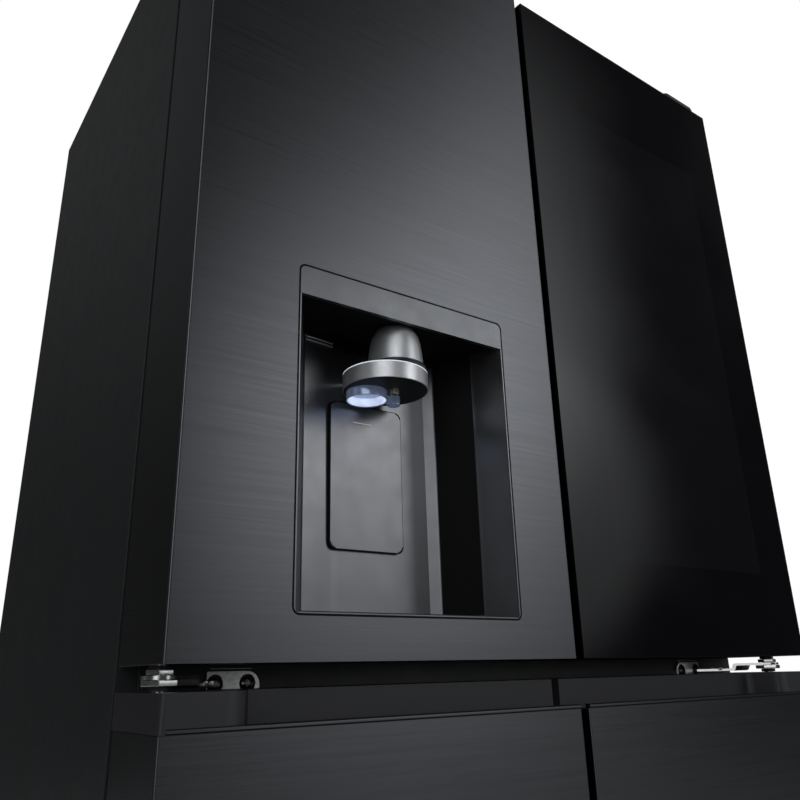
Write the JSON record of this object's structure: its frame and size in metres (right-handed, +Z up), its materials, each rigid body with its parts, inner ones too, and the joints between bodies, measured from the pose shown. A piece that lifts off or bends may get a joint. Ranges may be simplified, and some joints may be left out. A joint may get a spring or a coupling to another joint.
{
  "type": "french door refrigerator",
  "caption": "French door refrigerator with freezer doors below, a recessed water and ice dispenser, a glass door-in-door and pocket handles.",
  "frame": {"origin": "middle of the footprint, on the floor that the levelling feet stand on", "axes": "+Z up, doors face -Y, +X to the right as one faces the doors"},
  "size_m": [0.912, 0.738, 1.787],
  "materials": {
    "black_steel": "satin",
    "door_plastic": "satin",
    "gasket_vinyl": "matte",
    "tub_plastic": "satin",
    "fascia_plastic": "satin",
    "satin_metal": "satin",
    "water_tip_metal": "satin",
    "door_glass": "gloss",
    "shelf_glass": "gloss",
    "clear_plastic": "gloss",
    "liner_plastic": "satin",
    "case_paint": "satin",
    "foam": "matte",
    "zinc_steel": "satin",
    "cover_plastic": "matte",
    "galvanised_steel": "matte",
    "foot_plastic": "matte"
  },
  "bodies": {
    "cabinet": {"base_frame": "galvanised_steel", "bottom_hinge_left": "zinc_steel", "bottom_hinge_right": "zinc_steel", "centre_rail": "case_paint", "compressor": "cover_plastic", "crisper_cover": "shelf_glass", "crisper_drawer_left": "clear_plastic", "crisper_drawer_right": "clear_plastic", "duct_panel": "liner_plastic", "freezer_drawer_lower_left": "clear_plastic", "freezer_drawer_lower_right": "clear_plastic", "freezer_drawer_upper_left": "clear_plastic", "freezer_drawer_upper_right": "clear_plastic", "freezer_liner": "liner_plastic", "fridge_liner": "liner_plastic", "hinge_cover_left": "cover_plastic", "hinge_cover_right": "cover_plastic", "hinge_nut_left": "zinc_steel", "hinge_nut_right": "zinc_steel", "insulation": "foam", "kick_grille": "cover_plastic", "middle_hinge_left": "zinc_steel", "middle_hinge_right": "zinc_steel", "outer_case": "case_paint", "rear_cover": "cover_plastic", "rear_panel": "galvanised_steel", "shelf_lower": "shelf_glass", "shelf_upper": "shelf_glass", "top_hinge_left": "zinc_steel", "top_hinge_right": "zinc_steel"},
    "left_door": {"left_door_panel": "black_steel", "left_door_body": "door_plastic", "left_door_gasket": "gasket_vinyl", "dispenser_housing": "tub_plastic", "dispenser_fascia": "fascia_plastic", "nozzle_cowl": "satin_metal", "nozzle_ring": "satin_metal", "ice_funnel": "clear_plastic", "water_tip": "water_tip_metal", "ice_maker_box": "liner_plastic", "left_door_bin": "clear_plastic"},
    "dispenser_paddle": {"dispenser_paddle": "tub_plastic"},
    "mullion_flap": {"centre_mullion": "liner_plastic"},
    "right_door": {"right_door_inner_frame": "door_plastic", "right_door_gasket": "gasket_vinyl", "right_door_bin_lower": "clear_plastic", "right_door_bin_upper": "clear_plastic"},
    "outer_door": {"outer_door_glass": "door_glass", "outer_door_frame": "black_steel"},
    "lower_left_door": {"lower_left_panel": "black_steel", "lower_left_body": "door_plastic", "lower_left_gasket": "gasket_vinyl"},
    "lower_right_door": {"lower_right_panel": "black_steel", "lower_right_body": "door_plastic", "lower_right_gasket": "gasket_vinyl"},
    "foot_left": {"levelling_foot_left": "foot_plastic"},
    "foot_right": {"levelling_foot_right": "foot_plastic"},
    "roller_left": {"rear_roller_left": "foot_plastic"},
    "roller_right": {"rear_roller_right": "foot_plastic"},
    "fan": {"condenser_fan": "foot_plastic"}
  },
  "joints": [
    {"name": "left_door_swing", "type": "hinge", "parent": "cabinet", "child": "left_door", "pos_m": [-0.441, -0.321, 0.836], "axis": [0, 0, -1], "range_deg": [0, 120]},
    {"name": "right_door_swing", "type": "hinge", "parent": "cabinet", "child": "right_door", "pos_m": [0.441, -0.321, 0.836], "axis": [0, 0, 1], "range_deg": [0, 110]},
    {"name": "outer_door_swing", "type": "hinge", "parent": "right_door", "child": "outer_door", "pos_m": [0.441, -0.321, 0.836], "axis": [0, 0, 1], "range_deg": [0, 90]},
    {"name": "lower_left_door_swing", "type": "hinge", "parent": "cabinet", "child": "lower_left_door", "pos_m": [-0.441, -0.321, 0.055], "axis": [0, 0, -1], "range_deg": [0, 120]},
    {"name": "lower_right_door_swing", "type": "hinge", "parent": "cabinet", "child": "lower_right_door", "pos_m": [0.441, -0.321, 0.055], "axis": [0, 0, 1], "range_deg": [0, 120]},
    {"name": "mullion_flip", "type": "hinge", "parent": "left_door", "child": "mullion_flap", "pos_m": [-0.036, -0.242, 0.875], "axis": [0, 0, -1], "range_deg": [0, 90]},
    {"name": "paddle_push", "type": "hinge", "parent": "left_door", "child": "dispenser_paddle", "pos_m": [-0.2154, -0.276, 1.103], "axis": [1, 0, 0], "range_deg": [0, 3], "stiffness_Nm_per_rad": 5, "springref_deg": -1.15},
    {"name": "foot_left_screw", "type": "slide", "parent": "cabinet", "child": "foot_left", "axis": [0, 0, -1], "range_m": [0, 0.012]},
    {"name": "foot_right_screw", "type": "slide", "parent": "cabinet", "child": "foot_right", "axis": [0, 0, -1], "range_m": [0, 0.012]},
    {"name": "roller_left_spin", "type": "hinge", "parent": "cabinet", "child": "roller_left", "pos_m": [-0.432, 0.3, 0.018], "axis": [1, 0, 0], "continuous": true},
    {"name": "roller_right_spin", "type": "hinge", "parent": "cabinet", "child": "roller_right", "pos_m": [0.432, 0.3, 0.018], "axis": [1, 0, 0], "continuous": true},
    {"name": "fan_spin", "type": "hinge", "parent": "cabinet", "child": "fan", "pos_m": [-0.15, 0.24, 0.155], "axis": [0, 1, 0], "continuous": true}
  ]
}
